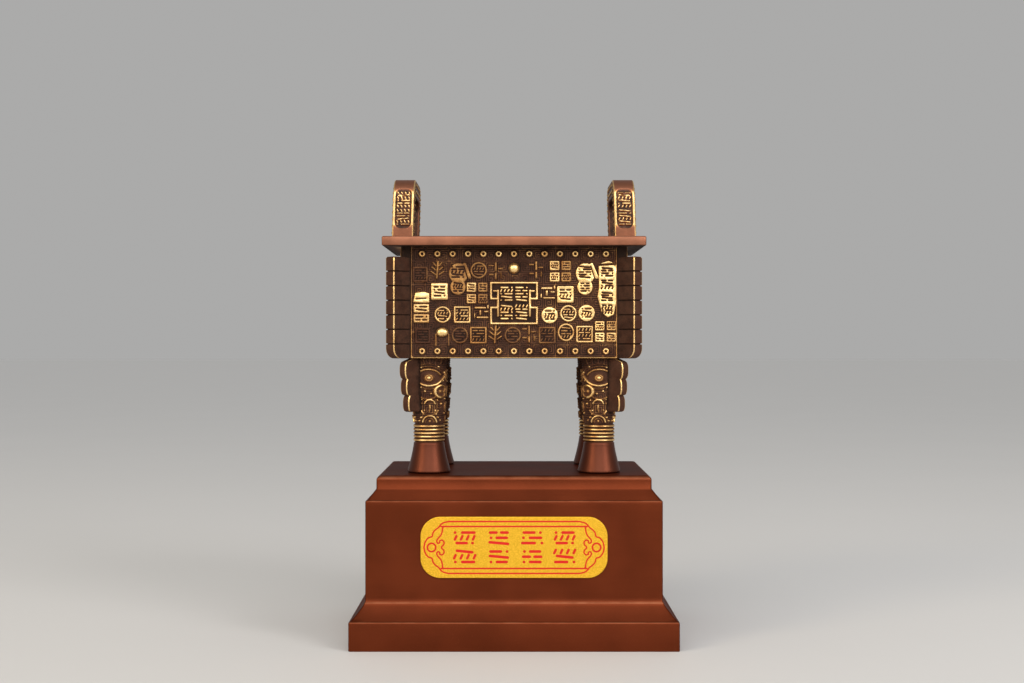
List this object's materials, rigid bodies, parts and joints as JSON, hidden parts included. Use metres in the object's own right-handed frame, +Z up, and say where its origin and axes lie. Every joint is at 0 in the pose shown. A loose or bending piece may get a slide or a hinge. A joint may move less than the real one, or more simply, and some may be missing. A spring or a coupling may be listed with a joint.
{
  "type": "ding vessel on plinth",
  "caption": "Small square ding, a legged vessel with two upright ears and raised seals on its walls, standing on a stepped plinth with a plaque.",
  "frame": {"origin": "middle of the plinth's underside", "axes": "+Z up; the front, with the plaque, faces -Y; +X to the right when looking at the front"},
  "size_m": [0.16, 0.12, 0.232],
  "materials": {
    "antique_bronze": "antique bronze plating: dark brown in the hollows, rubbed to gold on raised work, satin copper-brown on the smooth parts",
    "satin_copper_brown": "satin metallic copper-brown paint",
    "gold_plate": "finely grained gold-coloured sheet metal, printed in red"
  },
  "bodies": {
    "root": {"ding_vessel": "antique_bronze", "plinth": "satin_copper_brown", "plaque": "gold_plate"}
  },
  "joints": []
}
